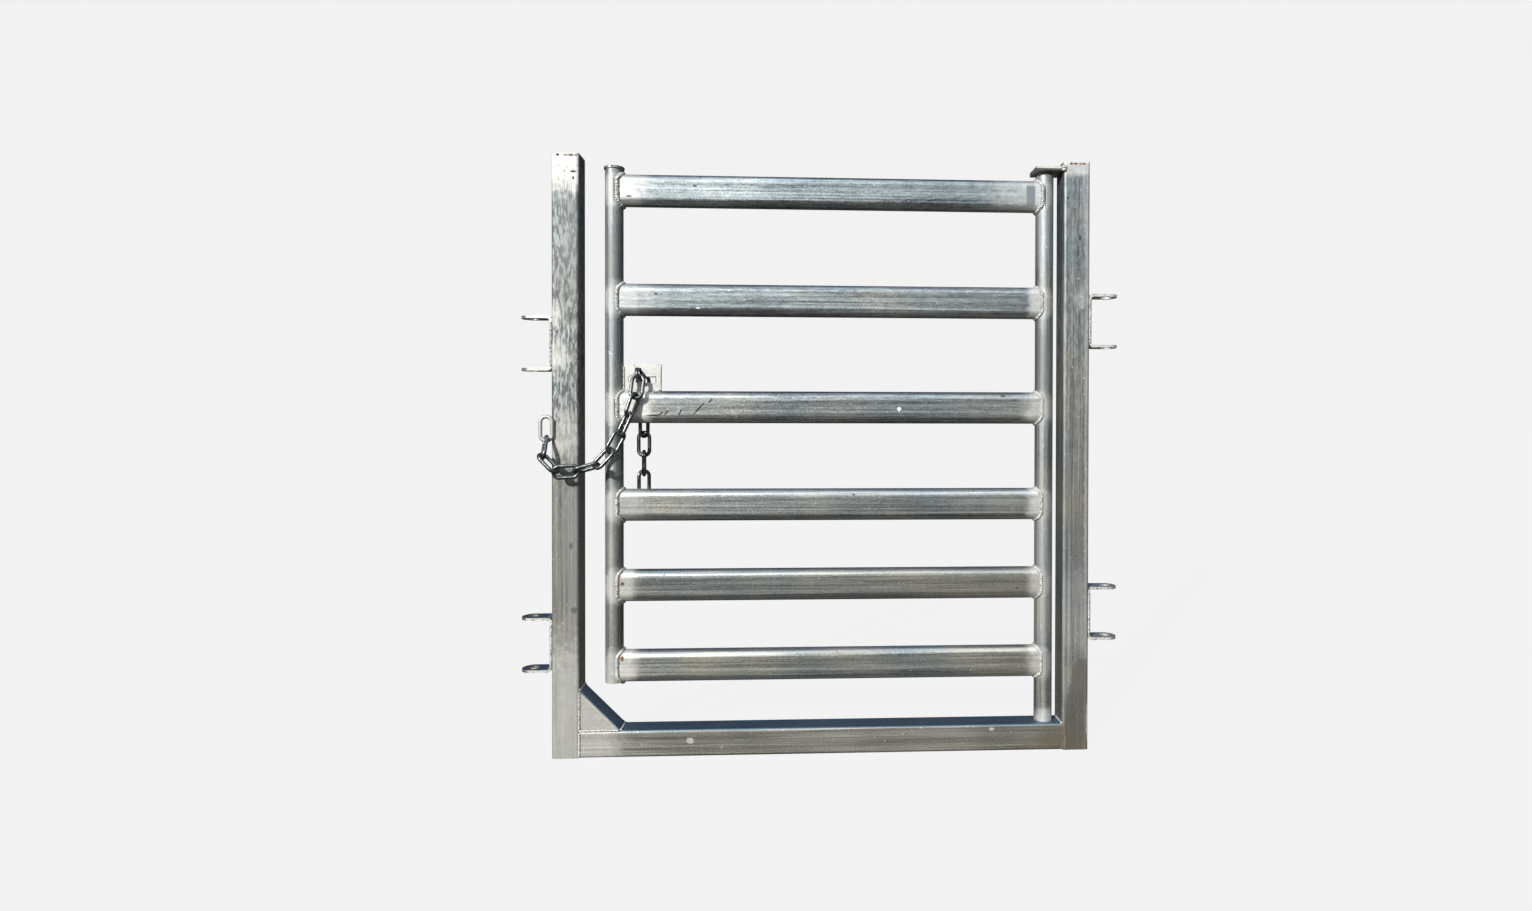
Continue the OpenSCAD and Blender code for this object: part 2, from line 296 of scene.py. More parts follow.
# %% Places from the frame
latch_low, latch_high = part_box("latch_stile")
hinge_low, hinge_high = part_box("hinge_stile")
left_low, left_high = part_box("left_post")
right_low, right_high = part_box("right_post")
sill_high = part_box("sill")[1]
plate_low, plate_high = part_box("hinge_plate")
keeper_low, keeper_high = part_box("keeper_plate")
gusset_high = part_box("corner_gusset")[1]
STILE_R = (latch_high[0] - latch_low[0]) / 2
LATCH_X = (latch_high[0] + latch_low[0]) / 2
HINGE_X = (hinge_high[0] + hinge_low[0]) / 2
FRONT = left_low[1]
BACK = left_high[1]
INNER_L = left_high[0]
INNER_R = right_low[0]
RAILS = ["rail_1", "rail_2", "rail_3", "rail_4", "rail_5", "rail_6"]
rail_mid = {name: (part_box(name)[0][2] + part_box(name)[1][2]) / 2 for name in RAILS}
RAIL_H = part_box("rail_1")[1][2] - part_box("rail_1")[0][2]
RAIL_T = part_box("rail_1")[1][1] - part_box("rail_1")[0][1]
print("stiles at", round(LATCH_X, 4), round(HINGE_X, 4))

# %% [markdown]
# ## Galvanised steel
# Tube that has been dipped in zinc is never one grey. It has crisp streaks along the tube where
# the rolls and the running zinc left them, a fine mottle of crystals, cool and warm patches and
# small dark pits. A picture of such a tube could be wrapped on, but it would be blurred close up
# and would repeat, so the surface is written as noise instead. The bare zinc comes first, and one
# class holds it, because everything that happened to the tube later is laid over it.

# %% Colours and grain of the zinc
COOL = (0.325, 0.372, 0.395, 1)
WARM = (0.375, 0.368, 0.330, 1)
SPRAY = (0.82, 0.81, 0.785, 1)
SPRAY_DULL = (0.56, 0.56, 0.53, 1)
RUST = (0.17, 0.075, 0.03, 1)
DARK = (0.045, 0.045, 0.04, 1)
DIRT = (0.16, 0.135, 0.095, 1)
# Dull grey: dull zinc, and painted shade across the left post
DULL_AND_SHADE = (0.17, 0.18, 0.175, 1)
FOOT_STAIN = (0.072, 0.062, 0.046, 0.80)
PATCH = (0.19, 0.22, 0.235, 1)
# Painted shade for edges: the keeper's slot and the lower front edge of the hinge plate
EDGE_SHADE = (0.06, 0.06, 0.055, 1)
# Painted reflection of the dark sky behind the gate, laid on faces that look up
PAINTED_SKY_REFLECTION = (0.13, 0.21, 0.28, 1)
SPECK = (0.95, 0.95, 0.95, 1)
SCRATCH = (0.10, 0.10, 0.10, 1)
PALE_STRIP = (0.36, 0.36, 0.33, 1)
FAINT = (0.42, 0.42, 0.39, 1)
# Marks of these colours have straight edges, or edges that are at least sharp
SQUARE_MARKS = (PATCH, EDGE_SHADE)
CRISP_MARKS = SQUARE_MARKS + (FOOT_STAIN,)
# Noise cells per metre: long and thin for streaks and flecks, even for the rest
ALONG = {"x": (3, 330, 330), "y": (330, 3, 330), "z": (330, 330, 3)}
FLECKS = {"x": (50, 210, 210), "y": (210, 50, 210), "z": (210, 210, 50)}
CRYSTALS = 320.0
CLOUDS = 8.0
RAGGED = 75.0
PITS = 130.0
SPLASHES = 150.0
SPECKS = 190.0
BUMP_HEIGHT = 0.0006
SCRATCH_HALF = 0.0013


def scaled(scale, factor):
    return tuple(part * factor for part in scale)


print("finest grain", round(1000 / max(ALONG["x"]), 1), "mm")

# %% Bare zinc


class Zinc(Finish):
    """Bare galvanised steel, before anything is laid over it. along is the axis of its streaks,
    warm shifts its grey, shine is its roughness, tone its brightness, grain the strength of the
    streaks and fleck that of the short flecks."""

    def __init__(self, name, along, seed, warm=0.5, shine=0.5, tone=1.0, grain=1.0, fleck=1.0):
        super().__init__(name)
        shift = (seed * 3.7, seed * 5.1, seed * 1.9)
        self.even = self.stretched((1, 1, 1), shift)
        self.streaks = self.noise(self.stretched(ALONG[along], shift), 1.0, 4.0, 0.7) - 0.5
        self.streaks = self.streaks * grain
        self.mottle = self.noise(self.even, CRYSTALS, 2.0, 0.7) - 0.5
        self.ragged = self.noise(self.even, RAGGED, 4.0, 0.65) - 0.5
        patches = self.noise(self.even, CLOUDS, 2.0) - 0.5
        lines = self.noise(self.stretched(scaled(ALONG[along], 0.5), shift), 1.0, 1.0, 0.5)
        dark_lines = self.step(lines, 0.60, 0.66) * grain
        pale_lines = self.step(lines, 0.41, 0.35) * grain
        height = self.parts(self.place())[2]
        flecks = self.noise(self.stretched(FLECKS[along], shift), 1.0, 2.0, 0.6)
        flecks = (self.step(flecks, 0.42, 0.60) - 0.5) * self.step(height, 0.25, 0.80)
        level = 1 + self.streaks * 1.8 + dark_lines * -0.26 + pale_lines * 0.30
        level = (level + flecks * 0.28 * fleck + self.mottle + patches * 0.5) * tone
        near_ground = self.step(height, 1.00, 0.20) * 0.5
        base = self.mix((patches * 2.5 + near_ground + warm).clamp(), COOL, WARM)
        grey = self.node("ShaderNodeCombineXYZ", None, {0: level, 1: level, 2: level})
        colour = self.node("ShaderNodeVectorMath", {"operation": "MULTIPLY"}, {0: base, 1: grey})
        self.pits = self.step(self.noise(self.even, PITS, 1.0), 0.76, 0.80)
        splashes = self.step(self.noise(self.even, SPLASHES, 1.0), 0.27, 0.23)
        colour = self.mix(self.pits * 0.85, colour, DARK)
        self.colour = self.mix(splashes * 0.6, colour, SPRAY)
        self.metal = 0.90 - self.pits * 0.5
        self.rough = (shine + self.streaks * 0.4 + self.mottle * 0.2 + patches * 0.12).clamp()

    def done(self):
        bumps = self.streaks * 0.5 + self.mottle * 0.8 + self.pits * -0.7
        values = {"Strength": 0.26, "Distance": BUMP_HEIGHT, "Height": bumps}
        normal = self.node("ShaderNodeBump", None, values, out="Normal")
        self.surface({"Base Color": self.colour, "Metallic": self.metal, "Roughness": self.rough,
                      "Normal": normal})
        return self.owner


print("bare zinc is ready")

# %% [markdown]
# ## What happened to the zinc
# Near the welds the tube was ground bare and sprayed with zinc paint, which is nearly white and
# quite matt. Later came yard dirt, rust, knocks and scratches. Each is a layer that covers the
# ones below it where its own mask says so: the distance from a point or a line, made ragged by
# noise. Bare zinc also shows the sky behind the gate on the faces that look up, and that is
# darker and bluer than any lamp can make it, so that reflection is painted into the colour as a
# layer too. A few stains and marks are painted shade: a darkening across the left post, the
# edges of the keeper's slot, the lower front edge of the hinge plate and the notch in the latch
# stile's cap.

# %% Layers on the zinc


class Weathered(Zinc):
    """Zinc with a method for each thing that can lie on it, painted reflection and shade among them."""

    def stain_and_shade(self, stains_and_shade):
        """stains_and_shade: (point, reach, soft, strength, colour), None for a free coordinate; one is
        painted shade.
        """
        for point, reach, soft, strength, dirt_and_shade in stains_and_shade:
            away = self.apart(point) + self.ragged * soft * 1.5
            spot = self.step(away, reach + soft, reach) * strength
            self.colour = self.mix(spot, self.colour, dirt_and_shade)
            self.metal = self.metal - spot * 0.35

    def spray(self, zones, speckle, front_only):
        """zones: (point, reach, soft, strength). A lower speckle puts more dark specks in them."""
        sprayed = None
        for point, reach, soft, strength in zones:
            away = self.apart(point) + (self.ragged + self.streaks) * soft * 1.2
            spot = self.step(away, reach + soft, reach) * strength
            sprayed = spot if sprayed is None else sprayed.math("MAXIMUM", spot)
        if sprayed is None:
            return
        if front_only:
            sprayed = sprayed * self.step(self.facing()[1] * -1, 0.2, 0.7)
        specks = self.step(self.noise(self.even, SPECKS, 2.0, 0.6), speckle, speckle + 0.04)
        dull = (self.mottle * 1.6 + self.ragged * 1.6 + 0.30).clamp()
        self.colour = self.mix(sprayed, self.colour, self.mix(dull, SPRAY, SPRAY_DULL))
        self.colour = self.mix(sprayed * specks * 0.9, self.colour, DARK)
        self.metal = self.metal * (1 - sprayed * 0.9)
        self.rough = (self.rough + sprayed * 0.12).clamp()

    def paint_sky_reflection(self, strength):
        """A painted reflection of the dark sky behind the gate, on the faces that look up."""
        if strength:
            up = self.step(self.facing()[2], 0.35, 0.65)
            self.colour = self.mix(up * strength, self.colour, PAINTED_SKY_REFLECTION)

    def mark(self, marks):
        """marks: (point, half sizes, colour), where the colour's alpha is the strength."""
        for point, half, colour in marks:
            square = colour in SQUARE_MARKS
            crisp = colour in CRISP_MARKS
            frayed = self.ragged * (0.25 if square else 0.6 if crisp else 1.1)
            away = self.apart(point, half, square) + frayed
            spot = self.step(away, 1.15, 0.95 if crisp else 0.7) * colour[3]
            self.colour = self.mix(spot, self.colour, colour)
            self.metal = self.metal * (1 - spot * 0.8)

    def scratch(self, scratches):
        """scratches: (start, end), two points of the front face."""
        for start, end in scratches:
            away = self.from_line(start, end, SCRATCH_HALF) + self.ragged * 0.5
            self.colour = self.mix(self.step(away, 1.2, 0.8), self.colour, DARK)


def zinc(name, along, seed, stains_and_shade=(), zones=(), speckle=0.66, front_only=False, sky_reflection=0.0,
         marks=(), scratches=(), **bare):
    """Weathered zinc with all its layers, in the order in which they cover each other."""
    made = Weathered(name, along, seed, **bare)
    made.stain_and_shade(stains_and_shade)
    made.spray(zones, speckle, front_only)
    made.paint_sky_reflection(sky_reflection)
    made.mark(marks)
    made.scratch(scratches)
    return made.done()


def dress(node, material):
    """A CAD node keeps its shape and gets a finish."""
    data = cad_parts[node].data
    data.materials.clear()
    data.materials.append(material)


# %% [markdown]
# ## Rails
# The left ends of the rails were sprayed further along than the right ones, and rail 2 carries a
# ragged patch with a hard edge. The single marks follow the picture: a white speck and a dark nick
# on rail 3, scratches beside the chain, a matt grey patch at the right end of rail 1, and rust
# where the spray didn't reach.

# %% Rails dressed
RAIL_TONES = (0.96, 0.92, 0.94, 1.08, 1.00, 1.22)
TOE = LATCH_X + STILE_R
HEEL = HINGE_X - STILE_R
rail_zones = {
    "rail_1": [((TOE, None, None), 0.012, 0.050, 0.40), ((HEEL, None, None), 0.006, 0.006, 0.60),
               ((HEEL, None, None), 0.020, 0.110, 0.40)],
    "rail_2": [((TOE, None, None), 0.026, 0.004, 0.28), ((TOE, None, None), 0.03, 0.05, 0.12),
               ((HEEL, None, None), 0.006, 0.02, 0.55)],
    "rail_3": [((TOE, None, None), 0.040, 0.022, 0.62), ((HEEL, None, None), 0.005, 0.03, 0.42)],
    "rail_4": [((TOE, None, None), 0.014, 0.045, 0.24), ((HEEL, None, None), 0.006, 0.02, 0.50)],
    "rail_5": [((TOE, None, None), 0.014, 0.018, 0.46), ((HEEL, None, None), 0.004, 0.02, 0.42)],
    "rail_6": [((TOE, None, None), 0.012, 0.025, 0.50), ((HEEL, None, None), 0.004, 0.02, 0.42)],
}
rail_marks = {
    "rail_1": [((0.3895, -0.015, 1.0467), (0.0078, 0.004, 0.0185), PATCH),
               ((-0.2404, -0.015, 1.0555), (0.004, 0.004, 0.002), DARK),
               ((-0.3620, -0.015, 1.0350), (0.006, 0.004, 0.0016), DARK)],
    "rail_2": [((-0.3119, -0.015, 0.8552), (0.003, 0.004, 0.002), DARK),
               ((-0.2348, -0.015, 0.8300), (0.004, 0.004, 0.0014), SPECK)],
    "rail_3": [((0.1400, -0.015, 0.6438), (0.0042, 0.004, 0.0042), SPECK),
               ((0.3379, -0.013, 0.6689), (0.005, 0.008, 0.002), DARK)],
    "rail_4": [((-0.3735, -0.015, 0.4380), (0.006, 0.010, 0.004), RUST),
               ((0.0550, -0.013, 0.4830), (0.004, 0.006, 0.0015), DARK)],
    "rail_5": [((-0.3735, -0.015, 0.3190), (0.004, 0.008, 0.004), RUST)],
    "rail_6": [((-0.3740, -0.015, 0.1800), (0.004, 0.008, 0.006), RUST)],
}
rail_3_scratches = [((-0.3295, -0.015, 0.6308), (-0.3040, -0.015, 0.6316)),
                    ((-0.3067, -0.015, 0.6315), (-0.2990, -0.015, 0.6370)),
                    ((-0.2973, -0.015, 0.6305), (-0.2890, -0.015, 0.6407)),
                    ((-0.2450, -0.015, 0.6305), (-0.2220, -0.015, 0.6565)),
                    ((-0.2165, -0.015, 0.6537), (-0.2075, -0.015, 0.6620)),
                    ((-0.2697, -0.015, 0.6310), (-0.2660, -0.015, 0.6420))]
dull_toe = [((TOE, None, None), 0.04, 0.20, 0.22, DULL_AND_SHADE)]
for seed, rail in enumerate(RAILS):
    dress(rail, zinc(rail, "x", seed + 1, stains_and_shade=dull_toe if rail in ("rail_1", "rail_2") else (),
                     zones=rail_zones[rail], marks=rail_marks[rail],
                     scratches=rail_3_scratches if rail == "rail_3" else (),
                     warm=-0.05 + 0.06 * seed, shine=0.40, tone=RAIL_TONES[seed]))
print("rails dressed:", len(RAILS))

# %% [markdown]
# ## Posts, sill and stiles
# The posts and stiles stand up, so their streaks run down them, and the sill's run along it. The
# left post's head was sprayed nearly white, the right one's only at its very top. Both feet are
# stained by yard dirt, the right one in a ragged dark patch with a paler strip at its outer edge.

# %% Posts dressed
head = left_high[2]
post_zones = {
    "left_post": [((None, None, head), 0.040, 0.040, 0.90), ((None, None, 0.03), 0.12, 0.12, 0.35),
                  ((-0.500, FRONT, 0.735), 0.012, 0.03, 0.5),
                  ((-0.500, FRONT, 0.815), 0.010, 0.02, 0.5), ((-0.485, FRONT, 0.59), 0.012, 0.04, 0.3),
                  ((-0.500, FRONT, 0.175), 0.010, 0.03, 0.4)],
    "right_post": [((None, None, head), 0.014, 0.014, 0.55), ((0.495, FRONT, None), 0.002, 0.006, 0.25),
                   ((INNER_R, FRONT, None), 0.001, 0.004, 0.12),
                   ((0.472, FRONT, 0.13), 0.010, 0.05, 0.14), ((0.475, FRONT, 0.26), 0.05, 0.06, 0.15),
                   ((0.490, FRONT, 0.85), 0.006, 0.02, 0.3), ((0.500, FRONT, 0.26), 0.006, 0.02, 0.3)],
}
post_marks = {
    "left_post": [((-0.4600, FRONT, 1.0760), (0.006, 0.004, 0.0022), DARK),
                  ((-0.4600, FRONT, 1.0640), (0.002, 0.004, 0.0035), DARK),
                  ((-0.4592, FRONT, 0.2735), (0.007, 0.004, 0.006), SCRATCH),
                  ((-0.4645, FRONT, 0.3910), (0.004, 0.004, 0.007), SCRATCH)],
    "right_post": [((0.4805, FRONT, 0.9665), (0.0022, 0.004, 0.006), DARK),
                   ((0.4573, FRONT, 1.0413), (0.0025, 0.004, 0.003), DARK),
                   ((0.4877, FRONT, 0.0200), (0.0310, 0.004, 0.1480), FOOT_STAIN),
                   ((0.4988, FRONT, 0.0500), (0.0034, 0.004, 0.0450), PALE_STRIP)],
}
# Rust and dirt in the seam between a post and its cap, on both pieces
rim_marks = {
    "left_post": [((-0.4640, FRONT, head), (0.005, 0.006, 0.0022), RUST),
                  ((-0.4740, FRONT, head), (0.004, 0.006, 0.0016), RUST),
                  ((-0.4880, FRONT, head), (0.003, 0.006, 0.0022), DARK),
                  ((-0.4550, FRONT, head), (0.002, 0.006, 0.0020), DARK)],
    "right_post": [((0.4640, FRONT, head), (0.003, 0.006, 0.0020), DARK),
                   ((0.4720, FRONT, head), (0.005, 0.006, 0.0022), RUST),
                   ((0.4810, FRONT, head), (0.003, 0.006, 0.0016), DARK),
                   ((0.4880, FRONT, head), (0.004, 0.006, 0.0020), RUST)],
}
post_stains_and_shade = {
    "left_post": [((-0.495, FRONT, 0.0), 0.006, 0.02, 0.55, DIRT),
                  # Painted shade: the left post's front darkens towards its inner edge, where the
                  # reflected sky is darker
                  ((INNER_L - 0.004, None, None), 0.004, 0.035, 0.40, DULL_AND_SHADE),
                  ((None, None, 0.40), 0.09, 0.08, 0.45, DULL_AND_SHADE),
                  ((None, None, 0.95), 0.08, 0.10, 0.45, DULL_AND_SHADE)],
    "right_post": [((0.4540, FRONT, 0.0), 0.020, 0.04, 0.30, DIRT)],
}
post_looks = {"left_post": {"tone": 0.67, "grain": 1.6, "fleck": 4.4},
              "right_post": {"tone": 0.73, "grain": 1.3, "fleck": 1.2}}
cap_zones = [((None, FRONT, None), 0.004, 0.01, 0.7)]
for seed, post in enumerate(("left_post", "right_post")):
    dress(post, zinc(post, "z", seed + 11, stains_and_shade=post_stains_and_shade[post], zones=post_zones[post],
                     front_only=True, marks=post_marks[post] + rim_marks[post], warm=0.40,
                     shine=0.60, **post_looks[post]))
    cap = post + "_cap"
    dress(cap, zinc(cap, "x", seed + 13, zones=cap_zones, marks=rim_marks[post], warm=0.6,
                    shine=0.6, grain=0.3))
print("posts dressed")

# %% Stiles dressed
latch_zones = [((LATCH_X + 0.012, -0.014, rail_mid[rail]), 0.024, 0.018, 0.4) for rail in RAILS]
latch_zones += [((LATCH_X - 0.004, -STILE_R, latch_low[2]), 0.020, 0.012, 0.4)]
latch_stains = [((None, None, 0.92), 0.03, 0.05, 0.50, DULL_AND_SHADE),
                ((None, None, 0.46), 0.03, 0.05, 0.35, DULL_AND_SHADE)]
latch_cracks = [((LATCH_X + 0.0028, -STILE_R, rail_mid["rail_1"]), (0.0009, 0.004, 0.024), DARK),
                ((LATCH_X + 0.0036, -STILE_R, rail_mid["rail_3"]), (0.0009, 0.004, 0.020), DARK)]
dress("latch_stile", zinc("latch_stile", "z", 15, stains_and_shade=latch_stains, zones=latch_zones,
                          marks=latch_cracks, warm=0.20, shine=0.60, tone=0.80, fleck=0.5))
hinge_zones = [((HINGE_X - 0.012, -0.014, rail_mid[rail]), 0.022, 0.016, 0.3) for rail in RAILS]
hinge_zones += [((None, None, 1.02), 0.05, 0.10, 0.14), ((None, None, 0.40), 0.05, 0.08, 0.16),
                ((None, None, 0.25), 0.03, 0.05, 0.14),
                ((HINGE_X, -STILE_R, hinge_low[2]), 0.015, 0.02, 0.5)]
hinge_stains = [((None, None, 0.73), 0.04, 0.06, 0.65, DULL_AND_SHADE)]
hinge_cracks = [((HINGE_X - 0.0028, -STILE_R, rail_mid["rail_1"]), (0.0011, 0.004, 0.024), DARK)]
dress("hinge_stile", zinc("hinge_stile", "z", 16, stains_and_shade=hinge_stains, zones=hinge_zones,
                          marks=hinge_cracks, warm=0.10, shine=0.56, tone=0.80, fleck=0.5))
# The cap's notch is only painted: a dark mark stands for the shade in it
notch_shade = ((LATCH_X - 0.001, -0.0188, latch_high[2] + 0.002), (0.002, 0.004, 0.006), DARK)
dress("latch_stile_cap", zinc("latch_stile_cap", "x", 17, marks=[notch_shade], warm=0.4, tone=0.9,
                              grain=0.3))
print("stiles dressed")

# %% Sill and gusset dressed
# The tops of the sill and the gusset get a painted reflection of the dark sky behind the gate
SKY_REFLECTION_ON_SILL = 0.85
sill_zones = [((INNER_L, None, None), 0.045, 0.05, 0.35)]
sill_marks = [((-0.2480, FRONT, 0.0289), (0.007, 0.004, 0.006), FAINT),
              ((0.3150, FRONT, 0.0420), (0.006, 0.004, 0.004), FAINT)]
sill_stains = [((0.440, FRONT, 0.0), 0.025, 0.045, 0.80, DIRT),
               ((0.395, FRONT, -0.01), 0.020, 0.020, 0.45, DIRT)]
dress("sill", zinc("sill", "x", 18, stains_and_shade=sill_stains, zones=sill_zones, sky_reflection=SKY_REFLECTION_ON_SILL,
                   marks=sill_marks, warm=0.75, tone=0.97))
gusset_zones = [((INNER_L, None, None), 0.06, 0.02, 0.35)]
gusset_stains = [((INNER_L, FRONT, None), 0.0025, 0.003, 0.6, DARK),
                 ((None, FRONT, sill_high[2]), 0.0025, 0.003, 0.5, DARK)]
dress("corner_gusset", zinc("corner_gusset", "x", 19, stains_and_shade=gusset_stains, zones=gusset_zones,
                            sky_reflection=SKY_REFLECTION_ON_SILL, warm=0.7, shine=0.55, grain=0.3))
print("sill and gusset dressed")

# %% [markdown]
# ## Plates, pins and lugs
# The keeper plate was welded on late and sprayed all over, so it is nearly white. The lugs are
# bent bar with bright weld splashes at the post, and the pins are plain turned steel.

# %% Plates, pins and lugs
keeper_zone = ((None, None, keeper_high[2]), 0.06, 0.01, 0.50)
plate_y = keeper_low[1]
# The first two marks are painted shade, with some dark paint, along the upper edge and the right end of
# the keeper's slot; then a dark line down the plate's right edge and a dark spot at its lower right
# corner
keeper_marks = [((-0.3240, plate_y, 0.7026), (0.0100, 0.004, 0.0008), EDGE_SHADE),
                ((-0.3142, plate_y, 0.6970), (0.0007, 0.004, 0.0050), EDGE_SHADE),
                ((keeper_high[0], plate_y, 0.7000), (0.0012, 0.004, 0.0260), SCRATCH),
                ((keeper_high[0], plate_y, keeper_low[2]), (0.003, 0.004, 0.003), DARK)]
dress("keeper_plate", zinc("keeper_plate", "x", 21, zones=[keeper_zone], marks=keeper_marks,
                           warm=0.6, grain=0.2))
plate_zone = ((None, FRONT, None), 0.001, 0.003, 0.6)
# Painted shade: a dark band along the lower part of the hinge plate's front edge, for the shade under
# it
plate_marks = [((HINGE_X, FRONT, plate_low[2] + 0.001), (0.060, 0.002, 0.0026), EDGE_SHADE)]
dress("hinge_plate", zinc("hinge_plate", "x", 22, zones=[plate_zone], marks=plate_marks,
                          warm=0.8, shine=0.55, tone=0.85, grain=0.2))
for seed, pin in enumerate(("upper_hinge_pin", "lower_hinge_pin")):
    dress(pin, zinc(pin, "z", seed + 23, shine=0.40))
# The upper lugs are seen from below, the lower ones from above
LUGS = ("left_upper_lug", "left_lower_lug", "right_upper_lug", "right_lower_lug")
LUG_SPRAY = (0.0, 0.0, 0.65, 0.35)
# The lower lugs' tops get a painted reflection of the dark sky behind the gate
LUG_SKY_REFLECTION = (0.0, 0.8, 0.0, 0.6)
for seed, lug in enumerate(LUGS):
    root = -0.500 if lug.startswith("left") else 0.500
    lug_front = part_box(lug)[0][1]
    zones = [((root, None, None), 0.006, 0.01, 0.6), ((None, lug_front, None), 0.0005, 0.002, 0.6),
             ((root, None, None), 0.10, 0.01, LUG_SPRAY[seed])]
    dress(lug, zinc(lug, "x", seed + 25, zones=zones, speckle=0.58, sky_reflection=LUG_SKY_REFLECTION[seed],
                    warm=0.4, shine=0.45))
print("plates, pins and lugs dressed")

# %% [markdown]
# ## Chain
# The chain is darker than the tube: its zinc has dulled to gunmetal, and only the crowns of the
# wire still shine. The welded first link was sprayed with its weld and is pale.

# %% Chain links
CHAIN = (0.11, 0.118, 0.122, 1)
CHAIN_BRIGHT = (0.30, 0.315, 0.325, 1)


def chain_steel(name, seed):
    made = Finish(name)
    shift = (seed * 2.3, seed * 4.1, seed * 6.7)
    spots = made.noise(made.stretched((1, 1, 1), shift), 190.0, 3.0, 0.7)
    colour = made.mix(made.step(spots, 0.40, 0.75), CHAIN, CHAIN_BRIGHT)
    rough = 0.34 + (spots - 0.5) * 0.4
    values = {"Strength": 0.3, "Distance": 0.0005, "Height": spots}
    normal = made.node("ShaderNodeBump", None, values, out="Normal")
    made.surface({"Base Color": colour, "Metallic": 0.92, "Roughness": rough, "Normal": normal})
    return made.owner


first_low, first_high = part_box("chain_link_01")
first_z = (first_low[2] + first_high[2]) / 2
FIRST_X = -0.4985
first_stain = ((FIRST_X, None, first_z), 0.008, 0.006, 0.5, DIRT)
first_zone = ((None, None, first_z), 0.02, 0.02, 0.35)
dress("chain_link_01", zinc("chain_link_01", "z", 31, stains_and_shade=[first_stain], zones=[first_zone],
                            grain=0.3))
links = sorted(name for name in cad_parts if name.startswith("chain_link"))[1:]
for seed, link in enumerate(links):
    dress(link, chain_steel(link, seed + 1))
print("loose links dressed:", len(links))

# %% [markdown]
# ## Weld beads
# A weld is a row of overlapping puddles, each a flattened drop that froze as the torch moved on.
# One drop is modelled, an array lays it down in a straight run, and a curve modifier bends that
# run along the seam. A little random displacement keeps two beads from looking alike. The same
# function serves straight seams and the rounded ones where an oval rail meets a stile.

# %% Bead material and the bead maker
bead_zone = ((None, None, 0.5), 0.7, 0.1, 0.5)
bead_finish = zinc("weld_zinc", "x", 41, zones=[bead_zone], speckle=0.53, warm=0.6, tone=0.85)
rust_stain = ((None, None, 0.5), 0.7, 0.1, 0.7, RUST)
rusty_finish = zinc("weld_rusty", "x", 42, stains_and_shade=[rust_stain], warm=0.9, shine=0.6, tone=0.7)
OVERLAP = 0.85  # the pitch of the drops in bead radii
LEAN = math.radians(25)
rough_noise = bpy.data.textures.new("weld_noise", "CLOUDS")
rough_noise.noise_scale = 0.004
beads = []


def bead(name, path, radius, body, closed=False, finish=bead_finish):
    """A weld bead of that radius along a path of points in metres."""
    bpy.ops.object.select_all(action="DESELECT")
    run = sum((Vector(b) - Vector(a)).length for a, b in zip(path, path[1:]))
    if closed:
        run += (Vector(path[0]) - Vector(path[-1])).length
    count = max(2, round(run / (radius * OVERLAP)))
    bpy.ops.mesh.primitive_uv_sphere_add(segments=12, ring_count=8, radius=radius)
    drop = bpy.context.object
    drop.name = name
    drop.scale = (0.80, 1.0, 1.0)
    bpy.ops.object.transform_apply(location=True, rotation=True, scale=True)
    bpy.ops.object.mode_set(mode="EDIT")
    bpy.ops.mesh.select_all(action="SELECT")
    bpy.ops.transform.rotate(value=LEAN, orient_axis="Y", center_override=(0, 0, 0))
    bpy.ops.object.mode_set(mode="OBJECT")
    spine_data = bpy.data.curves.new(name + "_spine", "CURVE")
    spine_data.dimensions = "3D"
    spline = spine_data.splines.new("POLY")
    spline.points.add(len(path) - 1)
    for spline_point, place in zip(spline.points, path):
        spline_point.co = (*place, 1)
    spline.use_cyclic_u = closed
    spine = bpy.data.objects.new(name + "_spine", spine_data)
    bpy.context.scene.collection.objects.link(spine)
    row = drop.modifiers.new("row", "ARRAY")
    row.count = count
    row.use_relative_offset = False
    row.use_constant_offset = True
    row.constant_offset_displace = (run / count, 0, 0)
    follow = drop.modifiers.new("follow", "CURVE")
    follow.object = spine
    lumps = drop.modifiers.new("lumps", "DISPLACE")
    lumps.texture = rough_noise
    lumps.texture_coords = "LOCAL"
    lumps.strength = radius * 0.7
    lumps.mid_level = 0.5
    for modifier in ("row", "follow", "lumps"):
        bpy.ops.object.modifier_apply(modifier=modifier)
    bpy.data.objects.remove(spine)
    bpy.data.curves.remove(spine_data)
    bpy.ops.object.shade_smooth()
    drop.data.materials.append(finish)
    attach(drop, body)
    beads.append(name)
    bpy.ops.object.select_all(action="DESELECT")


# %% [markdown]
# ## Beads round the rail ends
# Each rail is coped to the stile, so its seam is the oval of the rail wrapped on a cylinder. The
# oval's outline is worked out from its two half circles and two straights, and each of its points
# is pushed out to the stile's surface.

# %% Rail beads


def oval_seam(stile_x, side, z, count=40):
    """Points of the seam; side is 1 where the rail leaves the stile towards +X."""
    r = RAIL_T / 2
    straight = RAIL_H - RAIL_T
    around = 2 * straight + 2 * math.pi * r
    points = []
    for i in range(count):
        s = around * i / count
        if s < straight:
            y, dz = -r, s - straight / 2
        elif s < straight + math.pi * r:
            angle = (s - straight) / r
            y, dz = -r * math.cos(angle), straight / 2 + r * math.sin(angle)
        elif s < 2 * straight + math.pi * r:
            y, dz = r, straight / 2 - (s - straight - math.pi * r)
        else:
            angle = (s - 2 * straight - math.pi * r) / r
            y, dz = r * math.cos(angle), -straight / 2 - r * math.sin(angle)
        points.append((stile_x + side * math.sqrt(STILE_R ** 2 - y ** 2), y, z + dz))
    return points


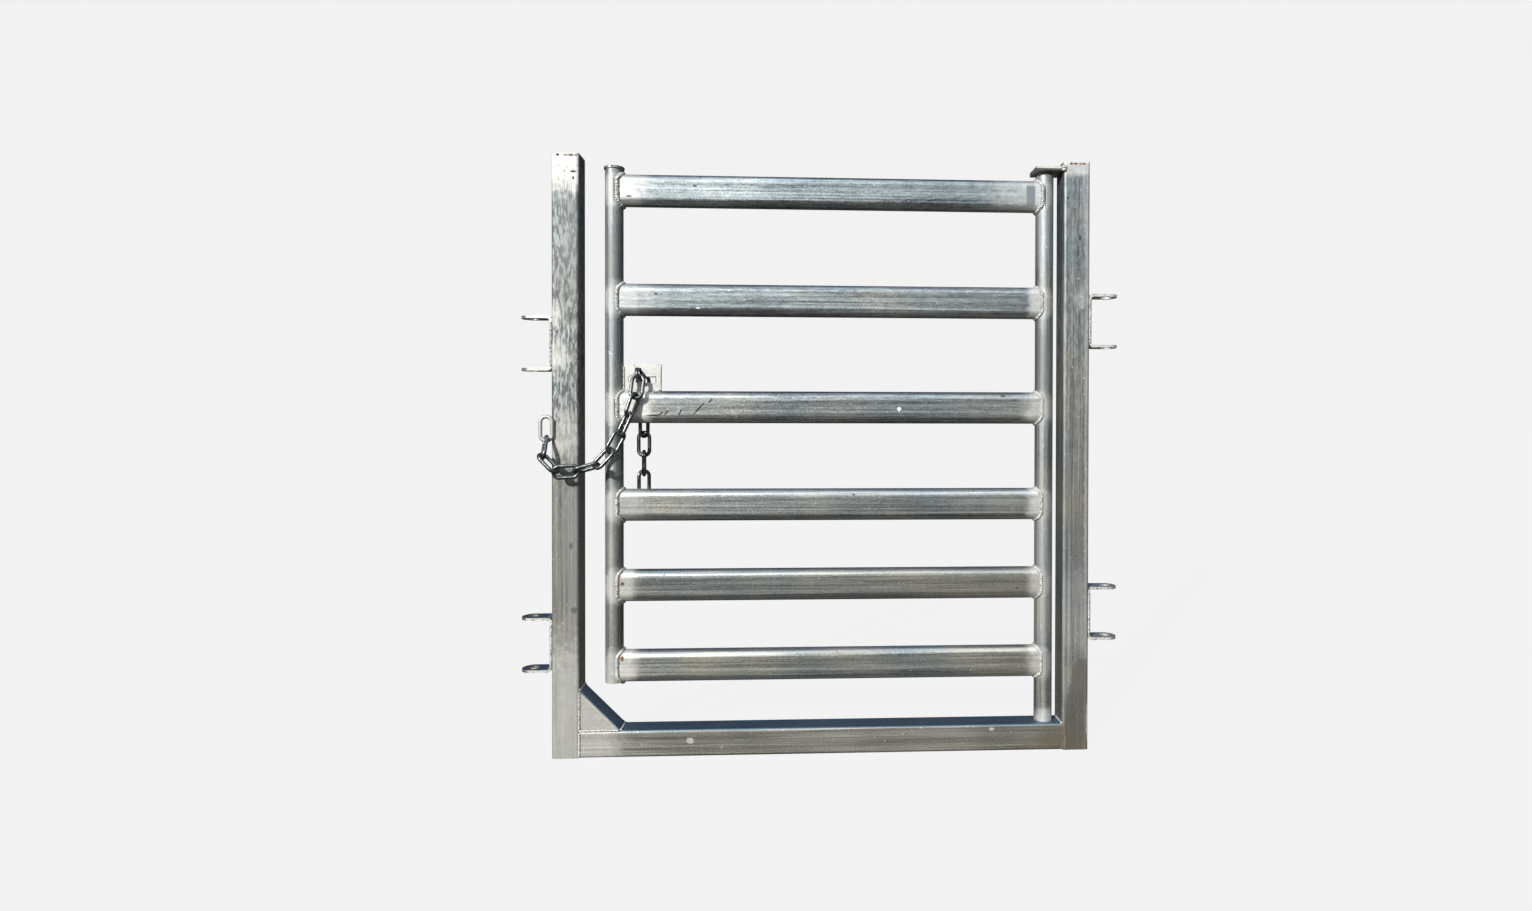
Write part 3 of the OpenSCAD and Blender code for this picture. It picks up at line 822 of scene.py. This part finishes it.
for rail in RAILS:
    z = rail_mid[rail]
    thick = 0.0048 if rail == "rail_1" else 0.0042
    bead("weld_" + rail + "_latch", oval_seam(LATCH_X, 1, z), thick, "gate", closed=True)
    bead("weld_" + rail + "_hinge", oval_seam(HINGE_X, -1, z), thick - 0.0004, "gate", closed=True)
print("beads so far:", len(beads))

# %% [markdown]
# ## Beads on the frame
# The straight seams: sill to posts, the gusset's four edges, the lugs' webs, the hinge plate, the
# keeper plate and the first chain link.

# %% Straight beads
FINE = 0.0022
CROSSING = 0.0024
ON_LUG = 0.0028
ON_PLATE = 0.0035
HEAVY = 0.0050
SEAM_IN = 0.004  # a seam stops short of the corners
SILL_TOP = 0.050
FACES = (("front", FRONT), ("back", BACK))


def line(a, b, count=8):
    return [tuple(Vector(a).lerp(Vector(b), i / (count - 1))) for i in range(count)]


def across(x, z):
    """A seam from front to back over a square tube."""
    return line((x, FRONT + SEAM_IN, z), (x, BACK - SEAM_IN, z))


reach = gusset_high[0]
rise = gusset_high[2]
for face, y in FACES:
    bead("weld_sill_left_" + face, line((INNER_L, y, 0.003), (INNER_L, y, 0.047)), FINE, "frame")
    seam = line((INNER_R, y, 0.003), (INNER_R, y, 0.047))
    bead("weld_sill_right_" + face, seam, FINE, "frame", finish=rusty_finish)
    seam = line((INNER_L, y, 0.055), (INNER_L, y, rise - 0.003), 12)
    bead("weld_gusset_post_" + face, seam, FINE, "frame")
    seam = line((INNER_L, y, 0.0505), (reach - 0.003, y, 0.0505), 12)
    bead("weld_gusset_sill_" + face, seam, FINE, "frame")
bead("weld_sill_right_top", across(INNER_R, SILL_TOP), CROSSING, "frame")
bead("weld_gusset_foot", across(reach, SILL_TOP), CROSSING, "frame")
bead("weld_gusset_head", across(INNER_L, rise), CROSSING, "frame")
for lug in LUGS:
    low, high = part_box(lug)
    outer = left_low[0] - 0.002 if lug.startswith("left") else right_high[0] + 0.002
    for face, y in (("front", low[1]), ("back", high[1])):
        seam = line((outer, y, low[2] + 0.010), (outer, y, high[2] - 0.010), 12)
        bead("weld_%s_%s" % (lug, face), seam, ON_LUG, "frame")
bead("weld_hinge_plate_top", across(INNER_R, plate_high[2]), ON_PLATE, "frame")
seam = line((INNER_R, FRONT, plate_low[2] + 0.002), (INNER_R, FRONT, plate_high[2] + 0.004))
bead("weld_hinge_plate_front", seam, HEAVY, "frame")
side_x = keeper_low[0] + 0.001
foot_z = keeper_low[2]
for face, y in (("front", keeper_low[1]), ("back", keeper_high[1])):
    seam = line((side_x, y, foot_z + 0.004), (side_x, y, keeper_high[2] - 0.004), 10)
    bead("weld_keeper_stile_" + face, seam, FINE, "gate")
    seam = line((side_x + 0.003, y, foot_z), (keeper_high[0] - 0.003, y, foot_z), 10)
    bead("weld_keeper_rail_" + face, seam, FINE, "gate")
weld_y = first_high[1] - 0.001
seam = line((FIRST_X, weld_y, first_z - 0.015), (FIRST_X, weld_y, first_z + 0.015))
bead("weld_first_link", seam, FINE, "frame")
print("beads:", len(beads))

# %% Finish
low, high = cad_box
